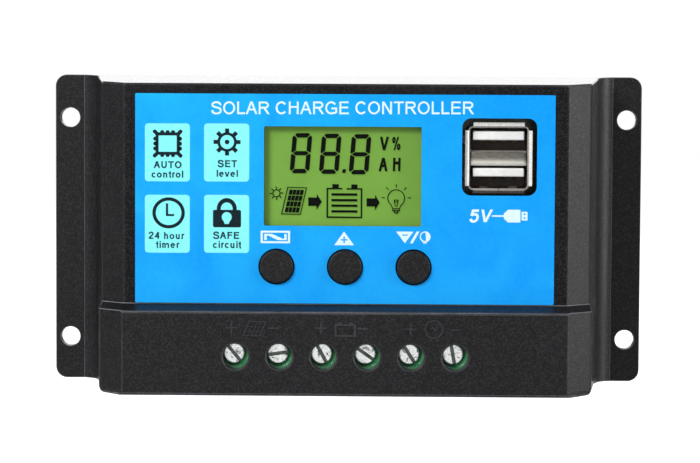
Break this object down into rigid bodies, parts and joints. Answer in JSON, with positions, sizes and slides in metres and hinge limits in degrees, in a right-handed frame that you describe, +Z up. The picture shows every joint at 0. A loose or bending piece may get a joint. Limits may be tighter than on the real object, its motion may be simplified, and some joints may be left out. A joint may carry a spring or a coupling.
{
  "type": "solar charge controller",
  "caption": "Wall-mounted solar charge controller with display, push buttons, USB sockets and a screw terminal block whose cages clamp the wires.",
  "frame": {"origin": "on the wall plane, at the centre of the rectangle of wall-screw holes", "axes": "+X to the user's right, +Z up the wall, -Y out of the wall towards the user"},
  "size_m": [0.1336, 0.035, 0.0696],
  "materials": {
    "housing_black": "fine textured black ABS",
    "label_blue": "printed blue polycarbonate film",
    "button_black": "smooth satin black plastic",
    "aluminium_plate": "brushed natural aluminium",
    "zinc_steel": "zinc plated steel",
    "nickel_steel": "nickel plated steel",
    "tin_copper": "tin plated copper",
    "gold_contact": "gold plated phosphor bronze",
    "board_green": "solder mask over fibreglass",
    "terminal_green": "moulded green polyamide",
    "lcd_film": "polariser film",
    "lcd_glass": "clear glass",
    "light_guide": "translucent light guide",
    "usb_white": "white moulded insulator",
    "chip_black": "black moulded package",
    "can_sleeve": "heat-shrink sleeve",
    "ferrite": "dark ferrite",
    "copper_wire": "enamelled copper",
    "silicone_grey": "thermally conductive silicone",
    "chip_ceramic": "ceramic and film chips"
  },
  "bodies": {
    "controller": {"front_housing": "housing_black", "face_label": "label_blue", "back_plate": "aluminium_plate", "plate_screws": "zinc_steel", "thermal_pad": "silicone_grey", "transistor_tabs": "tin_copper", "transistor_bodies": "chip_black", "transistor_legs": "tin_copper", "transistor_screws": "zinc_steel", "transistor_nuts": "zinc_steel", "circuit_board": "board_green", "board_screws": "zinc_steel", "lcd_polariser": "lcd_film", "lcd_front_glass": "lcd_glass", "lcd_rear_glass": "lcd_glass", "lcd_backlight": "light_guide", "backlight_leads": "tin_copper", "lcd_pins": "tin_copper", "switch_bases": "chip_black", "switch_covers": "nickel_steel", "switch_domes": "nickel_steel", "switch_legs": "tin_copper", "usb_shell": "nickel_steel", "usb_divider": "nickel_steel", "usb_insulator": "usb_white", "usb_contacts": "gold_contact", "terminal_block": "terminal_green", "terminal_contact_bars": "tin_copper", "input_capacitor": "can_sleeve", "output_capacitor": "can_sleeve", "capacitor_leads": "tin_copper", "inductor_core": "ferrite", "inductor_winding": "copper_wire", "microcontroller": "chip_black", "microcontroller_pins": "tin_copper", "usb_regulator": "chip_black", "usb_regulator_pins": "tin_copper", "diodes": "chip_black", "surface_mount_parts": "chip_ceramic"},
    "left_button": {"button_left": "button_black", "switch_plunger_left": "button_black"},
    "middle_button": {"button_middle": "button_black", "switch_plunger_middle": "button_black"},
    "right_button": {"button_right": "button_black", "switch_plunger_right": "button_black"},
    "screw_1": {"terminal_screw_1": "nickel_steel"},
    "cage_1": {"wire_cage_1": "nickel_steel"},
    "screw_2": {"terminal_screw_2": "nickel_steel"},
    "cage_2": {"wire_cage_2": "nickel_steel"},
    "screw_3": {"terminal_screw_3": "nickel_steel"},
    "cage_3": {"wire_cage_3": "nickel_steel"},
    "screw_4": {"terminal_screw_4": "nickel_steel"},
    "cage_4": {"wire_cage_4": "nickel_steel"},
    "screw_5": {"terminal_screw_5": "nickel_steel"},
    "cage_5": {"wire_cage_5": "nickel_steel"},
    "screw_6": {"terminal_screw_6": "nickel_steel"},
    "cage_6": {"wire_cage_6": "nickel_steel"}
  },
  "joints": [
    {"name": "left_button_press", "type": "slide", "parent": "controller", "child": "left_button", "axis": [0, 1, 0], "range_m": [0, 0.0003]},
    {"name": "middle_button_press", "type": "slide", "parent": "controller", "child": "middle_button", "axis": [0, 1, 0], "range_m": [0, 0.0003]},
    {"name": "right_button_press", "type": "slide", "parent": "controller", "child": "right_button", "axis": [0, 1, 0], "range_m": [0, 0.0003]},
    {"name": "cage_1_rise", "type": "slide", "parent": "controller", "child": "cage_1", "axis": [0, -1, 0], "range_m": [0, 0.0041]},
    {"name": "screw_1_turn", "type": "hinge", "parent": "controller", "child": "screw_1", "pos_m": [-0.02405, -0.0265, -0.0256], "axis": [0, 1, 0], "range_deg": [0, 2470]},
    {"name": "cage_2_rise", "type": "slide", "parent": "controller", "child": "cage_2", "axis": [0, -1, 0], "range_m": [0, 0.0041]},
    {"name": "screw_2_turn", "type": "hinge", "parent": "controller", "child": "screw_2", "pos_m": [-0.01455, -0.0265, -0.0256], "axis": [0, 1, 0], "range_deg": [0, 2470]},
    {"name": "cage_3_rise", "type": "slide", "parent": "controller", "child": "cage_3", "axis": [0, -1, 0], "range_m": [0, 0.0041]},
    {"name": "screw_3_turn", "type": "hinge", "parent": "controller", "child": "screw_3", "pos_m": [-0.00505, -0.0265, -0.0256], "axis": [0, 1, 0], "range_deg": [0, 2470]},
    {"name": "cage_4_rise", "type": "slide", "parent": "controller", "child": "cage_4", "axis": [0, -1, 0], "range_m": [0, 0.0041]},
    {"name": "screw_4_turn", "type": "hinge", "parent": "controller", "child": "screw_4", "pos_m": [0.00445, -0.0265, -0.0256], "axis": [0, 1, 0], "range_deg": [0, 2470]},
    {"name": "cage_5_rise", "type": "slide", "parent": "controller", "child": "cage_5", "axis": [0, -1, 0], "range_m": [0, 0.0041]},
    {"name": "screw_5_turn", "type": "hinge", "parent": "controller", "child": "screw_5", "pos_m": [0.01395, -0.0265, -0.0256], "axis": [0, 1, 0], "range_deg": [0, 2470]},
    {"name": "cage_6_rise", "type": "slide", "parent": "controller", "child": "cage_6", "axis": [0, -1, 0], "range_m": [0, 0.0041]},
    {"name": "screw_6_turn", "type": "hinge", "parent": "controller", "child": "screw_6", "pos_m": [0.02345, -0.0265, -0.0256], "axis": [0, 1, 0], "range_deg": [0, 2470]}
  ],
  "couplings": [
    {"joint": "screw_1_turn", "follows": "cage_1_rise", "rad_per_m": 10472},
    {"joint": "screw_2_turn", "follows": "cage_2_rise", "rad_per_m": 10472},
    {"joint": "screw_3_turn", "follows": "cage_3_rise", "rad_per_m": 10472},
    {"joint": "screw_4_turn", "follows": "cage_4_rise", "rad_per_m": 10472},
    {"joint": "screw_5_turn", "follows": "cage_5_rise", "rad_per_m": 10472},
    {"joint": "screw_6_turn", "follows": "cage_6_rise", "rad_per_m": 10472}
  ]
}
